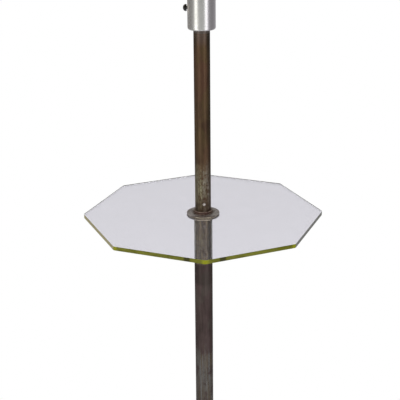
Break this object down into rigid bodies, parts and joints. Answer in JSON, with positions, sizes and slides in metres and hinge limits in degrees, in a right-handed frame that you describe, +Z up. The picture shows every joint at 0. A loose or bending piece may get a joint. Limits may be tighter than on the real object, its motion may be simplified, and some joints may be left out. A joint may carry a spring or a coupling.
{
  "type": "floor lamp with table",
  "caption": "Floor lamp with a clear octagonal glass table clamped round its bronzed column, an aluminium socket cup with a black switch knob, a parchment shade and a weighted round base.",
  "frame": {"origin": "centre of the base on the floor", "axes": "+Z up along the column, one corner of the table to -Y, the switch knob to -X, the cord inlet to +Y"},
  "size_m": [0.384, 0.384, 1.2595],
  "materials": {
    "felt": "pressed wool felt",
    "iron": "sand-cast, painted",
    "bronze_cover": "spun brass, dark bronze patina, satin",
    "black_plastic": "moulded black",
    "zinc_steel": "zinc plated",
    "lower_tube": "dark purple-brown patina, worn grey-green in places",
    "upper_tube": "dark brown copper patina, worn grey-green at its foot",
    "turned_brass": "turned, unpolished",
    "bronze_fitting": "turned, dull bronze with a brighter rim",
    "ring": "turned, reddish bronze",
    "cork": "pressed fibre washer",
    "nylon": "natural bush",
    "table_glass": "clear plate, olive yellow-green at its edges, arrised",
    "screw": "slotted head",
    "aluminium": "spun, satin",
    "insulator": "moulded phenolic",
    "liner_paper": "vulcanised fibre",
    "knob": "black phenolic",
    "steel_shaft": "ground",
    "bulb_glass": "inside-frosted glass",
    "bulb_stem": "clear stem",
    "wire": "enamelled wire",
    "parchment": "laminated parchment",
    "tape": "woven binding tape"
  },
  "bodies": {
    "lamp": {"base_felt": "felt", "base_weight": "iron", "base_cover": "bronze_cover", "cord_inlet": "black_plastic", "base_washer": "zinc_steel", "base_nut": "zinc_steel", "foot_ring": "bronze_fitting", "foot_plug": "turned_brass", "lamp_pipe": "zinc_steel", "lower_tube": "lower_tube", "table_spigot": "turned_brass", "lower_flange": "bronze_fitting", "lower_cushion": "cork", "glass_bush": "nylon", "glass_table": "table_glass", "upper_cushion": "cork", "upper_flange": "bronze_fitting", "tube_ring": "ring", "upper_tube": "upper_tube", "tube_screw": "screw", "top_plug": "turned_brass", "socket_cup": "aluminium", "cup_washer": "zinc_steel", "cup_nut": "zinc_steel", "holder_cap": "turned_brass", "holder_body": "insulator", "holder_liner": "liner_paper", "holder_sleeve": "turned_brass", "terminal_screws": "turned_brass", "screw_shell": "turned_brass", "centre_contact": "turned_brass", "switch_bushing": "turned_brass", "bulb_cap": "aluminium", "bulb_glass": "bulb_glass", "bulb_stem": "bulb_stem", "shade_frame": "wire", "shade_ring": "turned_brass", "shade_top_wire": "wire", "shade_skin": "parchment", "shade_binding": "tape"},
    "switch": {"switch_shaft": "steel_shaft", "switch_knob": "knob"}
  },
  "joints": [
    {"name": "switch_turn", "type": "hinge", "parent": "lamp", "child": "switch", "pos_m": [-0.0215, 0, 0.9657], "axis": [-1, 0, 0], "continuous": true}
  ]
}
